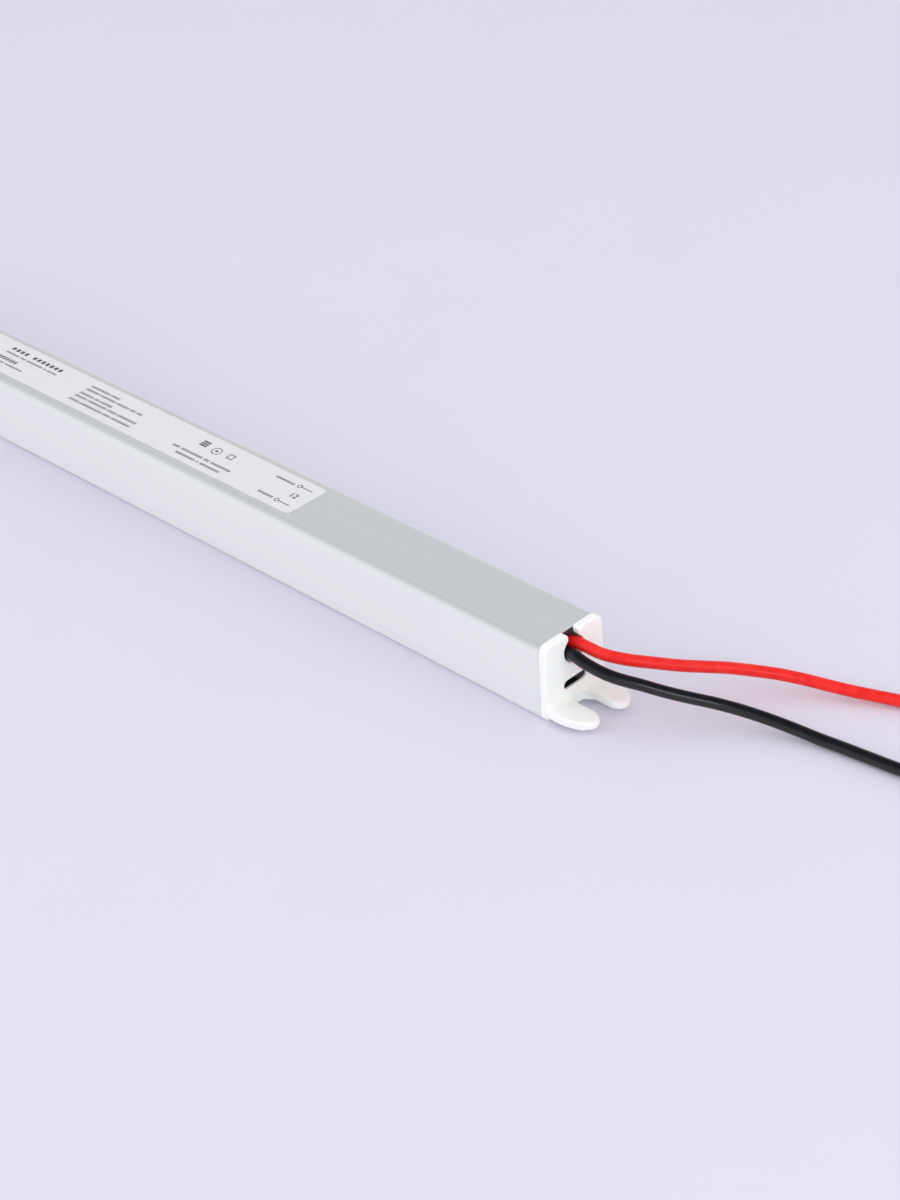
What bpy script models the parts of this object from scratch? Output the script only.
"""Slim constant-voltage LED driver in a square aluminium tube.

The tube runs along X, with the 12 V output end at +X, and stands on Z = 0.
White moulded caps close both ends. Each has a keyhole for the wires and a
forked ear for a screw. A board with the converter's parts slides into rails
inside the tube. Sizes are in metres.
"""

import math

import bmesh
import bpy
from mathutils import Vector

# Extruded housing
HOUSING_LENGTH = 0.283
HOUSING_WIDTH = 0.0176
HOUSING_HEIGHT = 0.018
HOUSING_WALL = 0.0009
HOUSING_CORNER = 0.0016
BORE_CORNER = 0.0006
RAIL_DEPTH = 0.0007
RAIL_THICKNESS = 0.0006
RAIL_LIFT = 0.0022

# Clearances between pieces
FIT_GAP = 0.0003
SEAM_GAP = 0.0001
LABEL_GAP = 0.00005

# End cap: flange, plug, keyhole and slot
FLANGE_THICKNESS = 0.002
FLANGE_RISE = 0.00045
FLANGE_CORNER = 0.0022
FLANGE_EDGE = 0.0005
FACE_WALL = 0.0008
POCKET_MARGIN = 0.00125
PLUG_DEPTH = 0.008
PLUG_WALL = 0.0012
PLUG_TAPER = 0.0004
PLUG_TAPER_LENGTH = 0.0008
HOLE_EDGE = 0.0001
KEYHOLE_RADIUS = 0.003
KEYHOLE_NECK = 0.0032
KEYHOLE_NECK_LENGTH = 0.00065
KEYHOLE_WAIST = 0.0005
KEYHOLE_LIP = 0.0008
SLOT_LENGTH = 0.0068
SLOT_WIDTH = 0.0021
SLOT_LIFT = 0.0064

# Forked ear
EAR_REACH = 0.010
EAR_LIFT = 0.0012
EAR_THICKNESS = 0.002
EAR_EDGE = 0.0005
EAR_SIDE_INSET = 0.0002
EAR_SHOULDER = 0.0015
EAR_FILLET = 0.0018
FORK_SLOT_WIDTH = 0.005
FORK_SLOT_STOP = 0.0002
FORK_RELIEF = 0.0001
PRONG_WIDTH = 0.0045

# Label on the top face
LABEL_WIDTH = 0.0124
LABEL_SETBACK = 0.0777
LABEL_THICKNESS = 0.00012
LABEL_CORNER = 0.0012

# Board and the film below it
BOARD_THICKNESS = 0.0016
BOARD_END_GAP = 0.0012
FILM_THICKNESS = 0.0003
LEAD_RADIUS = 0.0003
LEAD_TAIL = 0.0012

# Parts on the board; a headroom is the space left below the tube's ceiling
FUSE_LENGTH = 0.0084
FUSE_DIAMETER = 0.0036
FUSE_CAP_LENGTH = 0.0018
DISC_THICKNESS = 0.0034
DISC_LEAD_INSET = 0.0012
VARISTOR_DIAMETER = 0.007
THERMISTOR_DIAMETER = 0.0066
Y_CAPACITOR_DIAMETER = 0.0054
X_CAPACITOR_LENGTH = 0.011
X_CAPACITOR_WIDTH = 0.006
X_CAPACITOR_HEADROOM = 0.001
CHOKE_LENGTH = 0.0136
CHOKE_LEG_WIDTH = 0.002
CHOKE_COIL_GAP = 0.0008
CHOKE_COIL_TURNS = 7
CHOKE_WINDING_BUILD = 0.001
CHOKE_BASE_THICKNESS = 0.0012
BRIDGE_LENGTH = 0.0136
BRIDGE_WIDTH = 0.0036
BRIDGE_HEADROOM = 0.001
BULK_LENGTH = 0.016
BULK_HEADROOM = 0.0006
OUTPUT_CAP_LENGTH = 0.013
OUTPUT_CAP_HEADROOM = 0.0021
CAN_GROOVE = 0.0003
LEAD_RUN = 0.0013
POWER_BODY_LENGTH = 0.009
POWER_BODY_DEPTH = 0.0044
POWER_HEADROOM = 0.0006
POWER_TAB_LENGTH = 0.0054
POWER_TAB_THICKNESS = 0.0013
POWER_TAB_INSET = 0.0004
POWER_TAB_PROUD = 0.0002
POWER_TAB_HOLE = 0.0034
POWER_LEAD_PITCH = 0.00254
POWER_FOOT_START = 0.001
POWER_FOOT_STEP = 0.0018
PAD_THICKNESS = 0.0005
CHIP_LENGTH = 0.005
CHIP_WIDTH = 0.0032
CHIP_HEIGHT = 0.0015
OPTO_LENGTH = 0.0046
OPTO_WIDTH = 0.0034
OPTO_HEIGHT = 0.0024
CHIP_LEG_REACH = 0.0008
CHIP_LEG_THICKNESS = 0.0002
RESISTOR_LENGTH = 0.0063
RESISTOR_DIAMETER = 0.0024
TRANSFORMER_LENGTH = 0.025
TRANSFORMER_SIDE_CLEARANCE = 0.0014
TRANSFORMER_HEADROOM = 0.0009
TRANSFORMER_YOKE = 0.0035
TRANSFORMER_OUTER_LEG = 0.0014
TRANSFORMER_PIN_INSET = 0.0007
BOBBIN_WALL = 0.0006
BOBBIN_FLANGE = 0.0008
BOBBIN_RAIL_THICKNESS = 0.0006
WINDING_THICKNESS = 0.0014
WINDING_CORNER = 0.0012
DRUM_DIAMETER = 0.0082
DRUM_HEADROOM = 0.001
DRUM_FLANGE = 0.0011
DRUM_CORE_DIAMETER = 0.0036
DRUM_LEAD_INSET = 0.0012

# Output leads
WIRE_DIAMETER = 0.0026
WIRE_POINT_SPACING = 0.0048
SOLDER_RADIUS = 0.0013
SOLDER_HEIGHT = 0.0014
BARE_END_LENGTH = 0.007
BARE_END_DIAMETER = 0.0014

# Places that follow from the sizes above
HALF_LENGTH = HOUSING_LENGTH / 2
BORE_HALF_WIDTH = HOUSING_WIDTH / 2 - HOUSING_WALL
BORE_FLOOR = HOUSING_WALL
BORE_CEILING = HOUSING_HEIGHT - HOUSING_WALL
LOWER_RAIL = BORE_FLOOR + RAIL_LIFT
BOARD_BOTTOM = LOWER_RAIL + RAIL_THICKNESS + FIT_GAP
BOARD_TOP = BOARD_BOTTOM + BOARD_THICKNESS
UPPER_RAIL = BOARD_TOP + FIT_GAP
FLANGE_TOP = HOUSING_HEIGHT + FLANGE_RISE
PLUG_HALF_WIDTH = BORE_HALF_WIDTH - RAIL_DEPTH - FIT_GAP
SEAT = BOARD_TOP + FIT_GAP
ROOM_HEIGHT = BORE_CEILING - SEAT
LEAD_END = BOARD_BOTTOM - LEAD_TAIL
BOARD_HALF_LENGTH = HALF_LENGTH - PLUG_DEPTH - BOARD_END_GAP
BOARD_HALF_WIDTH = BORE_HALF_WIDTH - FIT_GAP

# Where the leads' centres run, from the solder joint outwards, in metres
# past the tube's output end, across it and above the floor
RED_ROUTE = (
    (-0.0185, 0.0030, 0.0073),
    (-0.0145, 0.0030, 0.0074),
    (-0.0105, 0.0026, 0.0088),
    (-0.0065, 0.0019, 0.0112),
    (-0.0025, 0.0014, 0.0136),
    (0.0020, 0.0014, 0.01475),
    (0.0071, 0.0026, 0.01375),
    (0.0119, 0.0052, 0.0130),
    (0.0156, 0.0087, 0.01205),
    (0.0186, 0.0131, 0.01035),
    (0.0213, 0.0179, 0.00865),
    (0.0241, 0.0226, 0.00705),
    (0.0274, 0.0268, 0.00555),
    (0.0314, 0.0302, 0.0046),
    (0.0358, 0.0331, 0.00365),
    (0.0405, 0.0356, 0.0028),
    (0.0452, 0.0380, 0.00215),
    (0.0530, 0.0418, 0.00155),
    (0.0605, 0.0448, 0.00135),
    (0.0685, 0.0470, 0.00135),
    (0.0765, 0.0482, 0.00135),
    (0.0845, 0.0484, 0.00135),
    (0.0925, 0.0477, 0.00135),
    (0.1005, 0.0465, 0.00135),
    (0.1085, 0.0452, 0.00135),
)
BLACK_ROUTE = (
    (-0.0185, -0.0030, 0.0073),
    (-0.0145, -0.0030, 0.0074),
    (-0.0105, -0.0027, 0.0086),
    (-0.0065, -0.0021, 0.0107),
    (-0.0025, -0.0016, 0.0131),
    (0.0020, -0.0014, 0.01375),
    (0.0060, -0.0013, 0.0130),
    (0.0098, -0.0005, 0.0120),
    (0.0132, 0.0010, 0.01105),
    (0.0169, 0.0034, 0.0100),
    (0.0208, 0.0064, 0.0084),
    (0.0248, 0.0097, 0.0069),
    (0.0288, 0.0129, 0.0056),
    (0.0333, 0.0156, 0.00445),
    (0.0381, 0.0179, 0.0033),
    (0.0432, 0.0197, 0.0023),
    (0.0487, 0.0210, 0.0016),
    (0.0541, 0.0220, 0.00135),
    (0.0602, 0.0227, 0.00135),
    (0.0669, 0.0235, 0.00135),
    (0.0745, 0.0248, 0.00135),
    (0.0820, 0.0258, 0.00135),
    (0.0895, 0.0259, 0.00135),
    (0.0970, 0.0250, 0.00135),
    (0.1045, 0.0234, 0.00135),
    (0.1120, 0.0216, 0.00135),
)

board_holes = []


def linear(channel):
    """Turn one sRGB channel, 0 to 1, into linear light."""
    if channel <= 0.04045:
        return channel / 12.92
    return ((channel + 0.055) / 1.055) ** 2.4


def finish(name, hex_color, roughness, metallic=0.0):
    """Make a Principled material from an sRGB hex colour."""
    channels = [int(hex_color[i:i + 2], 16) / 255 for i in (0, 2, 4)]
    made = bpy.data.materials.new(name)
    made.use_nodes = True
    shader = made.node_tree.nodes["Principled BSDF"]
    shader.inputs["Base Color"].default_value = (*map(linear, channels), 1.0)
    shader.inputs["Roughness"].default_value = roughness
    shader.inputs["Metallic"].default_value = metallic
    return made


def add_object(name, shape, material, location=(0, 0, 0), turn=0.0, smooth=40):
    """Put a bmesh into the scene as one named object under the root empty."""
    bmesh.ops.recalc_face_normals(shape, faces=shape.faces)
    mesh = bpy.data.meshes.new(name)
    shape.to_mesh(mesh)
    shape.free()
    mesh.shade_smooth()
    mesh.set_sharp_from_angle(angle=math.radians(smooth))
    item = bpy.data.objects.new(name, mesh)
    item.location = location
    item.rotation_euler.z = turn
    item.data.materials.append(material)
    bpy.context.scene.collection.objects.link(item)
    return item


def combine(target, shape, operation):
    """Join a shape to an object, or cut it away, with a Boolean modifier."""
    name = f"{target.name}_{operation.lower()}_{len(target.modifiers)}"
    tool = add_object(name, shape, target.data.materials[0])
    tool.parent = target
    tool.hide_render = True
    tool.display_type = "WIRE"
    boolean = target.modifiers.new(name, "BOOLEAN")
    boolean.operation = operation
    boolean.solver = "EXACT"
    boolean.object = tool
    return tool


def arc(center, radius, start, end, steps):
    """Points of an arc between two angles in degrees; radius may be a pair."""
    wide, high = radius if isinstance(radius, tuple) else (radius, radius)
    angles = [math.radians(start + (end - start) * i / steps) for i in range(steps + 1)]
    return [(center[0] + wide * math.cos(a), center[1] + high * math.sin(a)) for a in angles]


def rounded_rectangle(low, high, radius, steps=4):
    """Outline of a rectangle with round corners, from its low corner to its high one."""
    (left, bottom), (right, top) = low, high
    corners = (
        ((right - radius, bottom + radius), -90),
        ((right - radius, top - radius), 0),
        ((left + radius, top - radius), 90),
        ((left + radius, bottom + radius), 180),
    )
    points = []
    for center, start in corners:
        points += arc(center, radius, start, start + 90, steps)
    return points


def to_space(point, axis, along):
    """Place a flat point on the plane across an axis."""
    u, v = point
    return {"X": (along, u, v), "Y": (u, along, v), "Z": (u, v, along)}[axis]


def loft(shape, sections):
    """Close a solid over loops of points that all have the same count."""
    rings = [[shape.verts.new(point) for point in section] for section in sections]
    for ring, following in zip(rings, rings[1:]):
        for i, vertex in enumerate(ring):
            j = (i + 1) % len(ring)
            shape.faces.new((vertex, ring[j], following[j], following[i]))
    shape.faces.new(rings[0][::-1])
    shape.faces.new(rings[-1])


def prism(outline, axis, start, end, shape=None):
    """Extrude a flat outline along an axis."""
    shape = shape or bmesh.new()
    loft(shape, [[to_space(point, axis, along) for point in outline] for along in (start, end)])
    return shape


def block(low, high, edge=0.0, shape=None):
    """A box between two corners, with its edges rounded over."""
    outline = [(low[0], low[1]), (high[0], low[1]), (high[0], high[1]), (low[0], high[1])]
    piece = prism(outline, "Z", low[2], high[2])
    if edge:
        bmesh.ops.bevel(piece, geom=piece.edges[:], offset=edge, segments=2,
                        profile=0.5, affect="EDGES")
    if shape is None:
        return piece
    copy_into(piece, shape)
    return shape


def copy_into(piece, shape):
    """Add one bmesh to another and free it."""
    mesh = bpy.data.meshes.new("scratch")
    piece.to_mesh(mesh)
    piece.free()
    shape.from_mesh(mesh)
    bpy.data.meshes.remove(mesh)


def turned(profile, axis, center, sides, shape=None):
    """Revolve a profile of (place along the axis, radius) pairs about an axis."""
    shape = shape or bmesh.new()
    sections = []
    for along, radius in profile:
        ring = arc((0, 0), radius, 0, 360, sides)[:-1]
        sections.append([Vector(to_space(point, axis, along)) + Vector(center) for point in ring])
    loft(shape, sections)
    return shape


def turned_ring(profile, axis, center, sides):
    """Revolve a closed outline of (place along the axis, radius) about an axis."""
    shape = bmesh.new()
    rings = []
    for along, radius in profile:
        points = arc((0, 0), radius, 0, 360, sides)[:-1]
        rings.append([shape.verts.new(Vector(to_space(p, axis, along)) + Vector(center))
                      for p in points])
    for ring, following in zip(rings, rings[1:] + rings[:1]):
        for i, vertex in enumerate(ring):
            j = (i + 1) % sides
            shape.faces.new((vertex, ring[j], following[j], following[i]))
    return shape


def tube(path, radius, sides=6, shape=None):
    """Sweep a round section along a path of points, mitred at its corners."""
    shape = shape or bmesh.new()
    points = [Vector(point) for point in path]
    steps = [(b - a).normalized() for a, b in zip(points, points[1:])]
    side = steps[0].orthogonal().normalized()
    sections = []
    for i, point in enumerate(points):
        before = steps[max(i - 1, 0)]
        after = steps[min(i, len(steps) - 1)]
        tangent = (before + after).normalized()
        side = (side - tangent * side.dot(tangent)).normalized()
        other = tangent.cross(side)
        stretch = 1 / max(tangent.dot(after), 0.5)
        outward = before.cross(after)
        ring = []
        for u, v in arc((0, 0), radius, 0, 360, sides)[:-1]:
            spoke = side * u + other * v
            if outward.length > 1e-6:
                bend = tangent.cross(outward.normalized())
                spoke += bend * spoke.dot(bend) * (stretch - 1)
            ring.append(point + spoke)
        sections.append(ring)
    loft(shape, sections)
    return shape


def drop_lead(start, across, height, shape, radius=LEAD_RADIUS):
    """A lead that leaves a body, bends down and passes through the board."""
    bend = LEAD_RADIUS * 2
    foot = Vector((across[0], across[1], LEAD_END - height))
    top = Vector((across[0], across[1], start[2]))
    inward = (Vector(start) - top).normalized()
    path = [start, top + inward * bend, top + Vector((0, 0, -bend)), foot]
    tube(path, radius, shape=shape)


def pin(x, y, top, height, shape, radius=LEAD_RADIUS):
    """A straight lead from inside a body down through the board."""
    tube([(x, y, top), (x, y, LEAD_END - height)], radius, shape=shape)


def drill(location, x, y, radius=LEAD_RADIUS):
    """Note a hole that the board needs for a lead."""
    board_holes.append((location[0] + x, location[1] + y, radius + FIT_GAP))


def make_housing(aluminium):
    """Square tube with round corners and two pairs of rails for the board."""
    half = HOUSING_WIDTH / 2
    outline = rounded_rectangle((-half, 0), (half, HOUSING_HEIGHT), HOUSING_CORNER, 6)
    housing = add_object("housing", prism(outline, "X", -HALF_LENGTH, HALF_LENGTH), aluminium)
    tip = BORE_HALF_WIDTH - RAIL_DEPTH
    rails = []
    for bottom in (LOWER_RAIL, UPPER_RAIL):
        rails += [(BORE_HALF_WIDTH, bottom), (tip, bottom),
                  (tip, bottom + RAIL_THICKNESS), (BORE_HALF_WIDTH, bottom + RAIL_THICKNESS)]
    low_center = (BORE_HALF_WIDTH - BORE_CORNER, BORE_FLOOR + BORE_CORNER)
    high_center = (BORE_HALF_WIDTH - BORE_CORNER, BORE_CEILING - BORE_CORNER)
    right = (arc(low_center, BORE_CORNER, -90, 0, 3) + rails
             + arc(high_center, BORE_CORNER, 0, 90, 3))
    bore = right + [(-y, z) for y, z in reversed(right)]
    past_end = HALF_LENGTH + HOUSING_WALL
    combine(housing, prism(bore, "X", -past_end, past_end), "DIFFERENCE")
    return housing


def keyhole_outline(offset):
    """Keyhole seen along X, its edge moved outwards by offset."""
    neck = KEYHOLE_NECK / 2
    reach = KEYHOLE_RADIUS + KEYHOLE_WAIST
    rise = math.sqrt(reach ** 2 - (neck + KEYHOLE_WAIST) ** 2)
    middle = FLANGE_TOP - KEYHOLE_LIP - KEYHOLE_NECK_LENGTH - rise
    angle = math.degrees(math.atan2(rise, neck + KEYHOLE_WAIST))
    waist = KEYHOLE_WAIST - offset
    lip = KEYHOLE_LIP - offset
    right = arc((0, middle), KEYHOLE_RADIUS + offset, -90, angle, 12)
    right += arc((neck + KEYHOLE_WAIST, middle + rise), waist, 180 + angle, 180, 3)
    right += arc((neck + KEYHOLE_LIP, FLANGE_TOP - KEYHOLE_LIP), lip, 180, 90, 4)
    right.append((neck + KEYHOLE_LIP, FLANGE_TOP + KEYHOLE_LIP))
    return right + [(-y, z) for y, z in reversed(right[1:])]


def slot_outline(offset):
    """Round-ended slot below the keyhole, its edge moved outwards by offset."""
    radius = SLOT_WIDTH / 2 + offset
    reach = (SLOT_LENGTH - SLOT_WIDTH) / 2
    return (arc((reach, SLOT_LIFT), radius, -90, 90, 8)
            + arc((-reach, SLOT_LIFT), radius, 90, 270, 8))


def flared_cutter(outline):
    """Cutter through the flange that rounds the hole's edge at the outer face."""
    root = FLANGE_THICKNESS - HOLE_EDGE
    stations = [(-FLANGE_THICKNESS, 0.0), (root, 0.0)]
    for degrees in (30, 60, 90):
        a = math.radians(degrees)
        stations.append((root + HOLE_EDGE * math.sin(a), HOLE_EDGE * (1 - math.cos(a))))
    stations.append((FLANGE_THICKNESS * 2, HOLE_EDGE))
    shape = bmesh.new()
    loft(shape, [[(x, y, z) for y, z in outline(offset)] for x, offset in stations])
    return shape


def flange_outline(inset):
    """Flange seen along X: flush with the tube, but a little proud of it on top."""
    half = HOUSING_WIDTH / 2
    low = (half - HOUSING_CORNER, HOUSING_CORNER)
    high = (half - FLANGE_CORNER, FLANGE_TOP - FLANGE_CORNER)
    right = arc(low, HOUSING_CORNER - inset, -90, 0, 6)
    right += arc(high, FLANGE_CORNER - inset, 0, 90, 6)
    return right + [(-y, z) for y, z in reversed(right)]


def make_flange():
    """Plate that covers the tube's end, rounded along its outer edge."""
    root = FLANGE_THICKNESS - FLANGE_EDGE
    stations = [(SEAM_GAP, 0.0)]
    for degrees in (0, 30, 60, 90):
        a = math.radians(degrees)
        stations.append((root + FLANGE_EDGE * math.sin(a), FLANGE_EDGE * (1 - math.cos(a))))
    shape = bmesh.new()
    loft(shape, [[(x, y, z) for y, z in flange_outline(inset)] for x, inset in stations])
    return shape


def make_pocket():
    """Hollow behind the slot that leaves the flange one wall thick there."""
    half = SLOT_LENGTH / 2 + POCKET_MARGIN
    reach = SLOT_WIDTH / 2 + POCKET_MARGIN
    return block((-FLANGE_THICKNESS, -half, SLOT_LIFT - reach),
                 (FLANGE_THICKNESS - FACE_WALL, half, SLOT_LIFT + reach))


def ear_outline():
    """Forked ear from above: wide root, elliptical shoulders, round prongs."""
    root = FLANGE_THICKNESS / 2
    tip = FLANGE_THICKNESS + EAR_REACH
    half_slot = FORK_SLOT_WIDTH / 2
    prong_middle = half_slot + PRONG_WIDTH / 2
    half_root = HOUSING_WIDTH / 2 - EAR_SIDE_INSET
    shoulder = FLANGE_THICKNESS + EAR_SHOULDER
    slot_center = FLANGE_THICKNESS + FORK_SLOT_STOP + half_slot
    outer = arc((shoulder, prong_middle), (tip - shoulder, half_root - prong_middle), 90, 0, 10)
    inner = arc((tip - PRONG_WIDTH / 2, prong_middle), PRONG_WIDTH / 2, 0, -90, 6)
    upper = [(root, half_root)] + outer + inner[1:]
    fork = arc((slot_center, 0), half_slot, 90, 270, 14)
    return upper + fork + [(x, -y) for x, y in reversed(upper)]


def make_ear():
    """Ear plate with every edge of its outline rounded."""
    top = EAR_LIFT + EAR_THICKNESS
    shape = prism(ear_outline(), "Z", EAR_LIFT, top)
    level = [edge for edge in shape.edges
             if abs(edge.verts[0].co.z - edge.verts[1].co.z) < EAR_THICKNESS / 2]
    bmesh.ops.bevel(shape, geom=level, offset=EAR_EDGE, segments=2, profile=0.5,
                    affect="EDGES")
    return shape


def make_ear_fillet():
    """Web that blends the ear's top into the flange, open at the fork slot."""
    overlap = EAR_FILLET / 60
    center = (FLANGE_THICKNESS + EAR_FILLET - overlap,
              EAR_LIFT + EAR_THICKNESS + EAR_FILLET - overlap)
    inside = (FLANGE_THICKNESS * 0.6, EAR_LIFT + EAR_THICKNESS / 2)
    outline = [inside, (center[0], inside[1])] + arc(center, EAR_FILLET, 270, 180, 6)
    outline.append((inside[0], center[1]))
    half = HOUSING_WIDTH / 2 - EAR_SIDE_INSET - EAR_EDGE
    return prism(outline, "Y", -half, half)


def make_fork_cutter():
    """Cutter that keeps the web out of the fork slot."""
    half_slot = FORK_SLOT_WIDTH / 2
    half_cut = half_slot + FORK_RELIEF
    tip = FLANGE_THICKNESS + EAR_REACH
    slot_center = FLANGE_THICKNESS + FORK_SLOT_STOP + half_slot
    outline = arc((slot_center, 0), half_cut, 90, 270, 14)
    outline += [(tip, -half_cut), (tip, half_cut)]
    ear_top = EAR_LIFT + EAR_THICKNESS
    return prism(outline, "Z", EAR_LIFT, ear_top + EAR_FILLET * 2)


def tongue_outline(side, taper):
    """One of the plug's two tongues seen along X, its outside drawn in by taper."""
    bottom = BORE_FLOOR + FIT_GAP
    inner = PLUG_HALF_WIDTH - PLUG_WALL
    corner = PLUG_WALL / 2
    outside = arc((PLUG_HALF_WIDTH - corner, bottom + corner), corner, -90, 0, 3)
    outline = [(inner, bottom + taper)] + [(y - taper, z + taper) for y, z in outside]
    outline += [(PLUG_HALF_WIDTH - taper, BORE_CEILING - FIT_GAP), (inner, BORE_CEILING - FIT_GAP)]
    return [(side * y, z) for y, z in outline]


def make_plug():
    """Two tongues that push into the tube, tapered at their inner ends."""
    stations = ((-PLUG_DEPTH, PLUG_TAPER), (PLUG_TAPER_LENGTH - PLUG_DEPTH, 0.0),
                (FLANGE_THICKNESS * 0.4, 0.0))
    shape = bmesh.new()
    for side in (-1, 1):
        loft(shape, [[(x, y, z) for y, z in tongue_outline(side, taper)] for x, taper in stations])
    return shape


def make_plug_grips():
    """Ramped grips on the plug's sides that fill the room beside the rails."""
    root = PLUG_HALF_WIDTH
    crest = BORE_HALF_WIDTH - FIT_GAP
    inside = root - PLUG_WALL / 2
    outline = [(-PLUG_DEPTH * 0.8, inside), (-PLUG_DEPTH * 0.8, root), (-PLUG_DEPTH * 0.6, crest),
               (-PLUG_DEPTH * 0.2, crest), (-PLUG_DEPTH * 0.2, inside)]
    low = UPPER_RAIL + RAIL_THICKNESS * 2
    high = BORE_CEILING - RAIL_THICKNESS * 2
    shape = prism(outline, "Z", low, high)
    prism([(x, -y) for x, y in reversed(outline)], "Z", low, high, shape)
    return shape


def make_end_cap(name, side, plastic):
    """One-piece moulded cap; side is +1 at the output end and -1 at the input end."""
    turn = 0.0 if side > 0 else math.pi
    cap = add_object(name, make_flange(), plastic, (side * HALF_LENGTH, 0, 0), turn)
    web = combine(cap, make_ear_fillet(), "UNION")
    combine(web, make_fork_cutter(), "DIFFERENCE")
    combine(cap, make_ear(), "UNION")
    plug = combine(cap, make_plug(), "UNION")
    combine(plug, make_plug_grips(), "UNION")
    combine(cap, flared_cutter(keyhole_outline), "DIFFERENCE")
    combine(cap, flared_cutter(slot_outline), "DIFFERENCE")
    combine(cap, make_pocket(), "DIFFERENCE")
    return cap


def make_label(paper):
    """Thin rating label, centred on the tube's top face."""
    half_length = HALF_LENGTH - LABEL_SETBACK
    half_width = LABEL_WIDTH / 2
    outline = rounded_rectangle((-half_length, -half_width), (half_length, half_width),
                                LABEL_CORNER, 5)
    bottom = HOUSING_HEIGHT + LABEL_GAP
    return add_object("rating_label", prism(outline, "Z", bottom, bottom + LABEL_THICKNESS), paper)


def make_film(film_finish):
    """Folded insulating film between the board's joints and the tube's floor."""
    bottom = BORE_FLOOR + FIT_GAP
    outer = BORE_HALF_WIDTH - FIT_GAP - BORE_CORNER / 2
    inner = outer - FILM_THICKNESS
    top = LOWER_RAIL - FIT_GAP
    right = [(outer, bottom), (outer, top), (inner, top), (inner, bottom + FILM_THICKNESS)]
    outline = right + [(-y, z) for y, z in reversed(right)]
    shape = prism(outline, "X", -BOARD_HALF_LENGTH, BOARD_HALF_LENGTH)
    return add_object("insulating_film", shape, film_finish)


def make_board(laminate):
    """Circuit board in the rails, drilled for every lead that passes through it."""
    shape = block((-BOARD_HALF_LENGTH, -BOARD_HALF_WIDTH, BOARD_BOTTOM),
                  (BOARD_HALF_LENGTH, BOARD_HALF_WIDTH, BOARD_TOP))
    board = add_object("circuit_board", shape, laminate)
    drills = bmesh.new()
    for x, y, radius in board_holes:
        turned([(BOARD_BOTTOM - BOARD_THICKNESS, radius), (BOARD_TOP + BOARD_THICKNESS, radius)],
               "Z", (x, y, 0), 8, drills)
    combine(board, drills, "DIFFERENCE")
    return board


def make_fuse(x, ceramic):
    """Axial fuse with metal end caps."""
    radius = FUSE_DIAMETER / 2
    waist = radius * 0.92
    half = FUSE_LENGTH / 2
    cap = FUSE_CAP_LENGTH
    location = (x, 0, SEAT + radius)
    profile = [(-half, radius * 0.8), (-half + radius * 0.2, radius), (-half + cap, radius),
               (-half + cap, waist), (half - cap, waist), (half - cap, radius),
               (half - radius * 0.2, radius), (half, radius * 0.8)]
    fuse = add_object("fuse", turned(profile, "X", (0, 0, 0), 16), ceramic, location)
    leads = bmesh.new()
    for side in (-1, 1):
        foot = side * (half + LEAD_RUN)
        drop_lead((side * (half - cap / 2), 0, 0), (foot, 0), location[2], leads)
        drill(location, foot, 0)
    combine(fuse, leads, "UNION")


def make_disc(name, x, y, diameter, material):
    """Dipped disc part that stands on two leads."""
    radius = diameter / 2
    half = DISC_THICKNESS / 2
    location = (x, y, SEAT + radius)
    profile = [(-half, radius * 0.55), (-half * 0.75, radius * 0.88), (-half * 0.3, radius),
               (half * 0.3, radius), (half * 0.75, radius * 0.88), (half, radius * 0.55)]
    disc = add_object(name, turned(profile, "X", (0, 0, 0), 20), material, location, smooth=60)
    leads = bmesh.new()
    for side in (-1, 1):
        across = side * (radius - DISC_LEAD_INSET)
        pin(0, across, 0, location[2], leads)
        drill(location, 0, across)
    combine(disc, leads, "UNION")


def make_box_part(name, x, length, width, headroom, lead_count, material):
    """Moulded box on a row of leads along X."""
    height = ROOM_HEIGHT - headroom
    pitch = length * 0.8 / (lead_count - 1)
    location = (x, 0, SEAT)
    shape = block((-length / 2, -width / 2, 0), (length / 2, width / 2, height), width / 12)
    part = add_object(name, shape, material, location)
    leads = bmesh.new()
    for i in range(lead_count):
        along = (i - (lead_count - 1) / 2) * pitch
        pin(along, 0, height / 4, SEAT, leads)
        drill(location, along, 0)
    combine(part, leads, "UNION")


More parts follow.
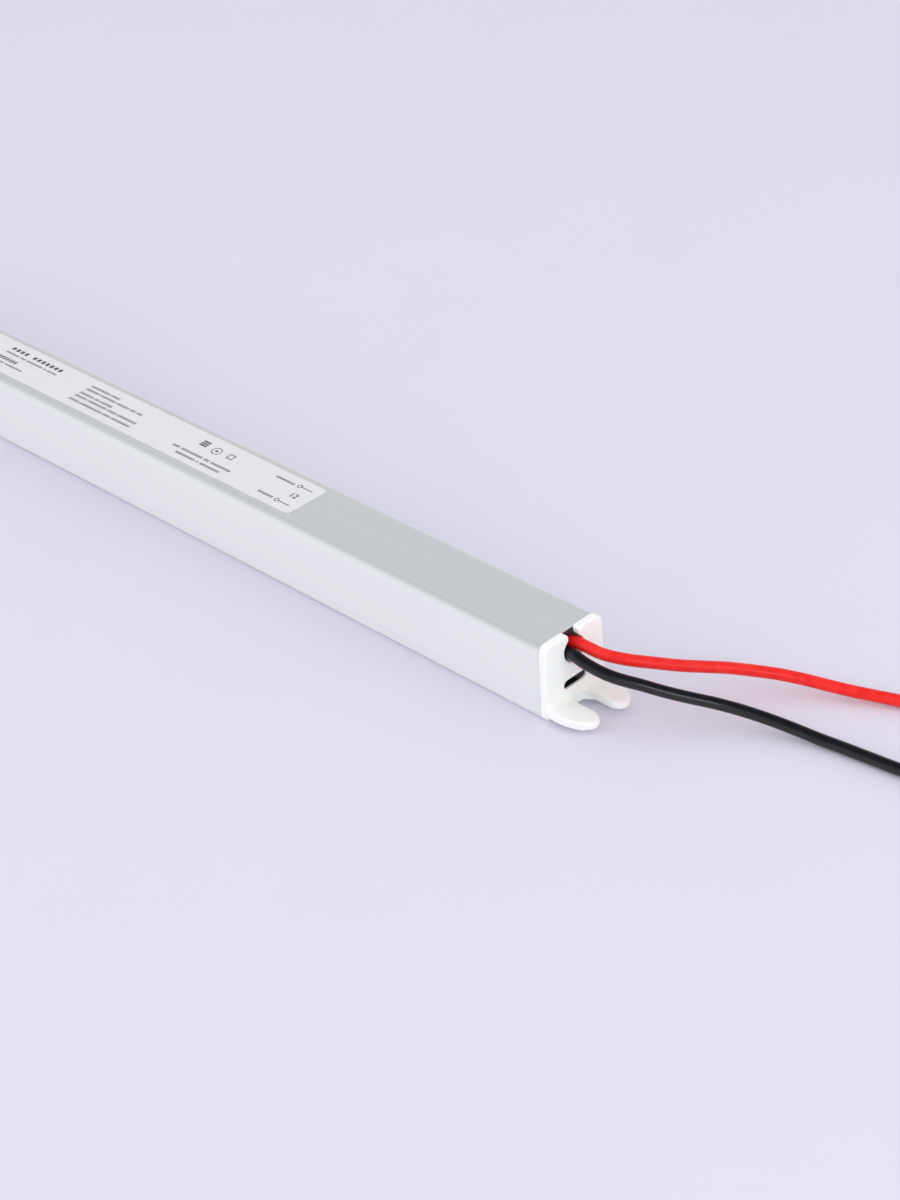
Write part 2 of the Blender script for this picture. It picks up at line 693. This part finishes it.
def make_choke(x, plastic, ferrite, copper):
    """Common-mode choke: ring core on a base, one coil on each leg."""
    half = CHOKE_LENGTH / 2
    leg = CHOKE_LEG_WIDTH / 2
    bore = leg * math.sqrt(2) + FIT_GAP
    coil_radius = bore + CHOKE_WINDING_BUILD
    axis = SEAT + CHOKE_BASE_THICKNESS + FIT_GAP + coil_radius
    leg_offset = coil_radius + CHOKE_COIL_GAP / 2
    outer = leg_offset + leg
    inner = leg_offset - leg
    window = half - leg * 2
    core = add_object("choke_core", block((-half, -outer, -leg), (half, outer, leg)),
                      ferrite, (x, 0, axis))
    combine(core, block((-window, -inner, -leg * 2), (window, inner, leg * 2)), "DIFFERENCE")

    coil_half = window - FIT_GAP
    pitch = 2 * coil_half / CHOKE_COIL_TURNS
    profile = [(-coil_half, bore)]
    for turn in range(CHOKE_COIL_TURNS):
        start = -coil_half + turn * pitch
        profile += [(start, coil_radius - pitch * 0.3), (start + pitch * 0.3, coil_radius),
                    (start + pitch * 0.7, coil_radius)]
    profile += [(coil_half, coil_radius - pitch * 0.3), (coil_half, bore)]
    for number, side in ((1, -1), (2, 1)):
        add_object(f"choke_winding_{number}", turned_ring(profile, "X", (0, 0, 0), 16), copper,
                   (x, side * leg_offset, axis), smooth=60)

    shape = block((-half, -outer, 0), (half, outer, CHOKE_BASE_THICKNESS))
    base = add_object("choke_base", shape, plastic, (x, 0, SEAT))
    extras = bmesh.new()
    post_top = axis - leg - FIT_GAP - SEAT
    for side in (-1, 1):
        near, far = sorted((side * (window + FIT_GAP), side * (half - FIT_GAP)))
        block((near, -outer + FIT_GAP, CHOKE_BASE_THICKNESS / 2), (far, outer - FIT_GAP, post_top),
              shape=extras)
        for across in (-leg_offset, leg_offset):
            pin(side * window, across, CHOKE_BASE_THICKNESS * 0.4, SEAT, extras)
            drill((x, 0), side * window, across)
    combine(base, extras, "UNION")


def make_can(name, x, length, headroom, sleeve):
    """Electrolytic capacitor lying along X, its leads bent down at one end."""
    radius = (ROOM_HEIGHT - headroom) / 2
    half = length / 2
    groove = half - length / 8
    location = (x - LEAD_RUN / 2, 0, SEAT + radius)
    profile = [(-half, radius * 0.9), (-half + radius * 0.1, radius), (groove - CAN_GROOVE * 2, radius),
               (groove, radius - CAN_GROOVE), (groove + CAN_GROOVE * 2, radius),
               (half - radius * 0.06, radius), (half, radius * 0.94)]
    can = add_object(name, turned(profile, "X", (0, 0, 0), 24), sleeve, location)
    leads = bmesh.new()
    foot = half + LEAD_RUN
    for side in (-1, 1):
        across = side * radius / 2
        drop_lead((half - LEAD_RUN, across, 0), (foot, across), location[2], leads)
        drill(location, foot, across)
    combine(can, leads, "UNION")


def power_stage_length():
    """Room that a power package and its stepped leads take along X."""
    feet = POWER_FOOT_START + POWER_FOOT_STEP * 2 + LEAD_RADIUS
    return POWER_TAB_LENGTH + POWER_BODY_LENGTH + feet


def package_back():
    """Distance from the middle to a power package's back, inside its thermal pad."""
    return BORE_HALF_WIDTH - FIT_GAP - PAD_THICKNESS - FIT_GAP


def make_power_package(name, x, side, mould, pad_name, pad_material):
    """Power package on its edge, its tab facing a side wall through a thermal pad."""
    height = ROOM_HEIGHT - POWER_HEADROOM
    depth = POWER_BODY_DEPTH
    back = package_back()
    start = -power_stage_length() / 2
    turn = 0.0 if side > 0 else math.pi
    body_start = start + POWER_TAB_LENGTH
    body_end = body_start + POWER_BODY_LENGTH
    front = back - POWER_TAB_PROUD
    shape = block((body_start, back - depth, 0), (body_end, front, height), depth / 12)
    location = (x, 0, SEAT)
    package = add_object(name, shape, mould, location, turn)
    extras = bmesh.new()
    tab = block((start, back - POWER_TAB_THICKNESS, POWER_TAB_INSET),
                (body_end - POWER_TAB_THICKNESS, back, height - POWER_TAB_INSET))
    middle = height / 2
    for step in range(3):
        level = middle + (step - 1) * POWER_LEAD_PITCH
        foot = body_end + POWER_FOOT_START + POWER_FOOT_STEP * step
        across = back - depth / 2
        drop_lead((body_end - LEAD_RUN, across, level), (foot, across), SEAT, extras)
        drill(location, side * foot, side * across)
    combine(package, tab, "UNION")
    combine(package, extras, "UNION")
    hole = turned([(back - depth, POWER_TAB_HOLE / 2), (back + depth, POWER_TAB_HOLE / 2)],
                  "Y", (start + POWER_TAB_LENGTH / 2, 0, middle), 16)
    combine(package, hole, "DIFFERENCE")

    near = back + FIT_GAP
    low = UPPER_RAIL + RAIL_THICKNESS + FIT_GAP - SEAT
    pad = block((start, near, low), (body_end, near + PAD_THICKNESS, height - FIT_GAP))
    add_object(pad_name, pad, pad_material, location, turn)


def make_chip(name, x, y, length, width, height, legs, material):
    """Surface-mount chip on bent legs along both long sides."""
    lift = CHIP_LEG_THICKNESS
    shape = block((-length / 2, -width / 2, lift), (length / 2, width / 2, lift + height),
                  height / 10)
    chip = add_object(name, shape, material, (x, y, SEAT))
    extras = bmesh.new()
    pitch = length / legs
    half = pitch / 5
    for i in range(legs):
        along = (i - (legs - 1) / 2) * pitch
        for side in (-1, 1):
            shoulder = side * (width / 2 + CHIP_LEG_REACH * 0.4)
            toe = side * (width / 2 + CHIP_LEG_REACH)
            inside = side * width * 0.4
            mid = lift + height / 2
            t = CHIP_LEG_THICKNESS
            outline = [(inside, mid), (shoulder, mid), (shoulder, t), (toe, t), (toe, 0),
                       (shoulder - side * t, 0), (shoulder - side * t, mid - t), (inside, mid - t)]
            prism(outline, "X", along - half, along + half, extras)
    combine(chip, extras, "UNION")


def make_resistor(name, x, y, material):
    """Axial resistor along X, thicker at its ends."""
    radius = RESISTOR_DIAMETER / 2
    half = RESISTOR_LENGTH / 2
    profile = [(-half, radius * 0.6), (-half * 0.85, radius), (-half * 0.6, radius),
               (-half * 0.5, radius * 0.85), (half * 0.5, radius * 0.85), (half * 0.6, radius),
               (half * 0.85, radius), (half, radius * 0.6)]
    location = (x, y, SEAT + radius)
    resistor = add_object(name, turned(profile, "X", (0, 0, 0), 12), material, location, smooth=60)
    leads = bmesh.new()
    for side in (-1, 1):
        foot = side * (half + LEAD_RUN)
        drop_lead((side * half * 0.8, 0, 0), (foot, 0), location[2], leads)
        drill(location, foot, 0)
    combine(resistor, leads, "UNION")


def make_transformer(x, ferrite, plastic, tape):
    """Low transformer: two E cores that meet inside a wound bobbin."""
    half = TRANSFORMER_LENGTH / 2
    outer_y = BORE_HALF_WIDTH - TRANSFORMER_SIDE_CLEARANCE
    leg_y = outer_y - TRANSFORMER_OUTER_LEG
    wound_y = leg_y - FIT_GAP
    wound_z = (ROOM_HEIGHT - FIT_GAP - TRANSFORMER_HEADROOM) / 2
    sleeve_y = wound_y - WINDING_THICKNESS - FIT_GAP
    sleeve_z = wound_z - WINDING_THICKNESS - FIT_GAP
    leg_half_width = sleeve_y - BOBBIN_WALL - FIT_GAP
    leg_half_height = sleeve_z - BOBBIN_WALL - FIT_GAP
    axis = SEAT + FIT_GAP + wound_z
    window = half - TRANSFORMER_YOKE
    location = (x, 0, axis)

    half_height = wound_z - BOBBIN_RAIL_THICKNESS
    outline = [(half, outer_y), (FIT_GAP / 2, outer_y), (FIT_GAP / 2, leg_y), (window, leg_y),
               (window, -leg_y), (FIT_GAP / 2, -leg_y), (FIT_GAP / 2, -outer_y), (half, -outer_y)]
    for number, side in ((1, -1), (2, 1)):
        points = [(side * px, py) for px, py in outline]
        core = add_object(f"transformer_core_{number}",
                          prism(points, "Z", -half_height, half_height), ferrite, location)
        near, far = sorted((side * FIT_GAP / 2, side * (half - TRANSFORMER_YOKE / 2)))
        centre_leg = block((near, -leg_half_width, -leg_half_height),
                           (far, leg_half_width, leg_half_height))
        combine(core, centre_leg, "UNION")

    cheek = window - FIT_GAP
    shape = block((-cheek, -sleeve_y, -sleeve_z), (cheek, sleeve_y, sleeve_z))
    bobbin = add_object("transformer_bobbin", shape, plastic, location)
    extras = bmesh.new()
    rail_top = -half_height - FIT_GAP
    rail_bottom = SEAT - axis
    for side in (-1, 1):
        near, far = sorted((side * (cheek - BOBBIN_FLANGE), side * cheek))
        block((near, -wound_y, rail_bottom), (far, wound_y, wound_z), shape=extras)
    combine(bobbin, extras, "UNION")
    rails = bmesh.new()
    for side in (-1, 1):
        near, far = sorted((side * (cheek - BOBBIN_FLANGE / 2), side * (half - FIT_GAP)))
        block((near, -wound_y - FIT_GAP, rail_bottom + SEAM_GAP / 2), (far, wound_y + FIT_GAP, rail_top),
              shape=rails)
    combine(bobbin, rails, "UNION")
    pins = bmesh.new()
    for side in (-1, 1):
        for step in range(4):
            across = (step - 1.5) / 1.5 * (wound_y - TRANSFORMER_PIN_INSET)
            along = side * (half - TRANSFORMER_YOKE / 2)
            pin(along, across, (rail_bottom + rail_top) / 2, axis, pins)
            drill(location, along, across)
    combine(bobbin, pins, "UNION")
    hole_y = leg_half_width + FIT_GAP
    hole_z = leg_half_height + FIT_GAP
    combine(bobbin, block((-half, -hole_y, -hole_z), (half, hole_y, hole_z)), "DIFFERENCE")

    reach = cheek - BOBBIN_FLANGE - FIT_GAP
    wound = rounded_rectangle((-wound_y, -wound_z), (wound_y, wound_z), WINDING_CORNER)
    winding = add_object("transformer_winding", prism(wound, "X", -reach, reach), tape, location)
    bore_y = sleeve_y + FIT_GAP
    bore_z = sleeve_z + FIT_GAP
    combine(winding, block((-half, -bore_y, -bore_z), (half, bore_y, bore_z)), "DIFFERENCE")


def make_inductor(x, ferrite, copper):
    """Output inductor: a drum core on end with one winding."""
    radius = DRUM_DIAMETER / 2
    waist = DRUM_CORE_DIAMETER / 2
    height = ROOM_HEIGHT - DRUM_HEADROOM
    edge = radius * 0.06
    profile = [(0, radius - edge), (edge, radius), (DRUM_FLANGE, radius), (DRUM_FLANGE, waist),
               (height - DRUM_FLANGE, waist), (height - DRUM_FLANGE, radius),
               (height - edge, radius), (height, radius - edge)]
    location = (x, 0, SEAT)
    core = add_object("inductor_core", turned(profile, "Z", (0, 0, 0), 20), ferrite, location)
    leads = bmesh.new()
    for side in (-1, 1):
        across = side * (radius - DRUM_LEAD_INSET)
        pin(0, across, DRUM_FLANGE / 2, SEAT, leads)
        drill(location, 0, across)
    combine(core, leads, "UNION")
    low = DRUM_FLANGE + FIT_GAP
    high = height - DRUM_FLANGE - FIT_GAP
    wound = radius - FIT_GAP
    ring = [(low, waist + FIT_GAP), (high, waist + FIT_GAP), (high, wound * 0.94),
            (high - wound * 0.1, wound), (low + wound * 0.1, wound), (low, wound * 0.94)]
    add_object("inductor_winding", turned_ring(ring, "Z", (0, 0, 0), 20), copper, location)


def smooth_route(route):
    """Points at even spacing on a Catmull-Rom curve through a lead's route."""
    knots = [Vector((HALF_LENGTH + x, y, z)) for x, y, z in route]
    knots = [knots[0] * 2 - knots[1]] + knots + [knots[-1] * 2 - knots[-2]]
    fine = []
    for a, b, c, d in zip(knots, knots[1:], knots[2:], knots[3:]):
        for i in range(12):
            t = i / 12
            fine.append(0.5 * (2 * b + (c - a) * t + (2 * a - 5 * b + 4 * c - d) * t ** 2
                               + (3 * b - a - 3 * c + d) * t ** 3))
    fine.append(knots[-2])
    lengths = [0.0]
    for p, q in zip(fine, fine[1:]):
        lengths.append(lengths[-1] + (q - p).length)
    count = max(2, round(lengths[-1] / WIRE_POINT_SPACING))
    points = []
    j = 0
    for i in range(count + 1):
        goal = lengths[-1] * i / count
        while j < len(fine) - 2 and lengths[j + 1] < goal:
            j += 1
        share = (goal - lengths[j]) / (lengths[j + 1] - lengths[j])
        points.append(fine[j].lerp(fine[j + 1], share))
    return points


def make_lead(color, route, insulation, tin):
    """One insulated output wire with its solder joint and its bare end."""
    points = smooth_route(route)
    curve = bpy.data.curves.new(f"{color}_lead", "CURVE")
    curve.dimensions = "3D"
    curve.bevel_depth = WIRE_DIAMETER / 2
    curve.bevel_resolution = 2
    curve.use_fill_caps = True
    spline = curve.splines.new("POLY")
    spline.points.add(len(points) - 1)
    for knot, point in zip(spline.points, points):
        knot.co = (*point, 1.0)
    lead = bpy.data.objects.new(f"{color}_lead", curve)
    lead.data.materials.append(insulation)
    bpy.context.scene.collection.objects.link(lead)

    start = points[0]
    joint_x = start.x - FIT_GAP - SOLDER_RADIUS
    profile = [(0, SOLDER_RADIUS), (SOLDER_HEIGHT * 0.35, SOLDER_RADIUS * 0.6),
               (SOLDER_HEIGHT * 0.8, SOLDER_RADIUS * 0.42), (SOLDER_HEIGHT, SOLDER_RADIUS * 0.2)]
    joint = turned(profile, "Z", (0, 0, 0), 12)
    add_object(f"{color}_solder_joint", joint, tin, (joint_x, start.y, SEAT), smooth=60)

    end = points[-1]
    outward = (points[-1] - points[-2]).normalized()
    first = end + outward * FIT_GAP
    last = end + outward * (FIT_GAP + BARE_END_LENGTH)
    add_object(f"{color}_lead_tip", tube([first, last], BARE_END_DIAMETER / 2, 10), tin)


def row_places(lengths, start, end):
    """Centres along X of parts set out between two places with equal gaps."""
    gap = (end - start - sum(lengths)) / (len(lengths) + 1)
    places = []
    edge = start
    for length in lengths:
        places.append(edge + gap + length / 2)
        edge += gap + length
    return places


def make_board_parts(colors):
    """Set out the converter's parts from the mains end to the output end."""
    pair_length = DISC_THICKNESS * 2 + FIT_GAP * 4
    bulk_room = BULK_LENGTH + LEAD_RUN * 2
    output_room = OUTPUT_CAP_LENGTH + LEAD_RUN * 2
    joint_edge = HALF_LENGTH + RED_ROUTE[0][0] - FIT_GAP - SOLDER_RADIUS * 2
    fuse_room = FUSE_LENGTH + (LEAD_RUN + LEAD_RADIUS + FIT_GAP) * 2
    lengths = [fuse_room, pair_length, X_CAPACITOR_LENGTH, CHOKE_LENGTH,
               BRIDGE_LENGTH, bulk_room, bulk_room, power_stage_length(), TRANSFORMER_LENGTH,
               power_stage_length(), output_room, output_room, DRUM_DIAMETER]
    places = row_places(lengths, -BOARD_HALF_LENGTH, joint_edge)
    fuse, discs, x_cap, choke, bridge, bulk_1, bulk_2, switch, transformer = places[:9]
    rectifier, output_1, output_2, drum = places[9:]
    disc_offset = DISC_THICKNESS / 2 + FIT_GAP * 2

    make_fuse(fuse, colors["ceramic"])
    make_disc("varistor", discs - disc_offset, 0, VARISTOR_DIAMETER, colors["blue_dip"])
    make_disc("thermistor", discs + disc_offset, 0, THERMISTOR_DIAMETER, colors["green_dip"])
    make_box_part("x_capacitor", x_cap, X_CAPACITOR_LENGTH, X_CAPACITOR_WIDTH,
                  X_CAPACITOR_HEADROOM, 2, colors["yellow_case"])
    make_choke(choke, colors["black_mould"], colors["ferrite"], colors["copper"])
    make_box_part("bridge_rectifier", bridge, BRIDGE_LENGTH, BRIDGE_WIDTH, BRIDGE_HEADROOM, 4,
                  colors["black_mould"])
    for number, place in ((1, bulk_1), (2, bulk_2)):
        make_can(f"bulk_capacitor_{number}", place, BULK_LENGTH, BULK_HEADROOM, colors["sleeve"])
    make_power_package("switching_transistor", switch, 1, colors["black_mould"],
                       "transistor_pad", colors["pad"])
    make_transformer(transformer, colors["ferrite"], colors["black_mould"], colors["tape"])
    make_power_package("output_rectifier", rectifier, -1, colors["black_mould"],
                       "rectifier_pad", colors["pad"])
    for number, place in ((1, output_1), (2, output_2)):
        make_can(f"output_capacitor_{number}", place, OUTPUT_CAP_LENGTH, OUTPUT_CAP_HEADROOM,
                 colors["sleeve"])
    make_inductor(drum, colors["ferrite"], colors["copper"])

    free_side = (package_back() - POWER_BODY_DEPTH - BOARD_HALF_WIDTH) / 2
    quarter = power_stage_length() / 4
    make_chip("control_chip", switch - quarter, free_side, CHIP_LENGTH, CHIP_WIDTH, CHIP_HEIGHT,
              4, colors["black_mould"])
    make_resistor("snubber_resistor", switch + quarter, free_side, colors["resistor"])
    make_chip("optocoupler", rectifier + quarter, -free_side, OPTO_LENGTH, OPTO_WIDTH,
              OPTO_HEIGHT, 2, colors["black_mould"])
    make_disc("y_capacitor", rectifier - quarter, -free_side, Y_CAPACITOR_DIAMETER,
              colors["blue_dip"])


def main():
    for item in list(bpy.data.objects):
        bpy.data.objects.remove(item, do_unlink=True)
    aluminium = finish("satin_anodised_aluminium", "CDD0D6", 0.38, 1.0)
    white_plastic = finish("white_moulded_plastic", "F4F3F4", 0.45)
    paper = finish("white_label_paper", "EAE9EE", 0.55)
    tin = finish("tinned_copper", "C9CBCC", 0.3, 1.0)
    colors = {
        "ceramic": finish("fuse_ceramic", "E6E2D8", 0.4),
        "blue_dip": finish("blue_epoxy_dip", "2F5FA8", 0.35),
        "green_dip": finish("green_epoxy_dip", "2F5B3C", 0.4),
        "yellow_case": finish("yellow_capacitor_case", "E2B63A", 0.4),
        "black_mould": finish("black_epoxy_mould", "232326", 0.5),
        "ferrite": finish("ferrite", "3A3A3E", 0.6),
        "copper": finish("enamelled_copper", "B26A35", 0.3, 0.8),
        "sleeve": finish("capacitor_sleeve", "1E2533", 0.35),
        "pad": finish("thermal_pad", "9FA8B4", 0.7),
        "tape": finish("yellow_winding_tape", "E5C84A", 0.45),
        "resistor": finish("resistor_body", "C9A878", 0.5),
    }
    make_housing(aluminium)
    make_end_cap("output_end_cap", 1, white_plastic)
    make_end_cap("input_end_cap", -1, white_plastic)
    make_label(paper)
    make_film(finish("polyester_film", "DDE2E6", 0.3))
    make_board_parts(colors)
    make_board(finish("green_board", "2C6B43", 0.45))
    make_lead("red", RED_ROUTE, finish("red_pvc", "EE2F2B", 0.35), tin)
    make_lead("black", BLACK_ROUTE, finish("black_pvc", "222226", 0.35), tin)

    root = bpy.data.objects.new("led_driver", None)
    bpy.context.scene.collection.objects.link(root)
    for item in bpy.data.objects:
        if item is not root and item.parent is None:
            item.parent = root


main()
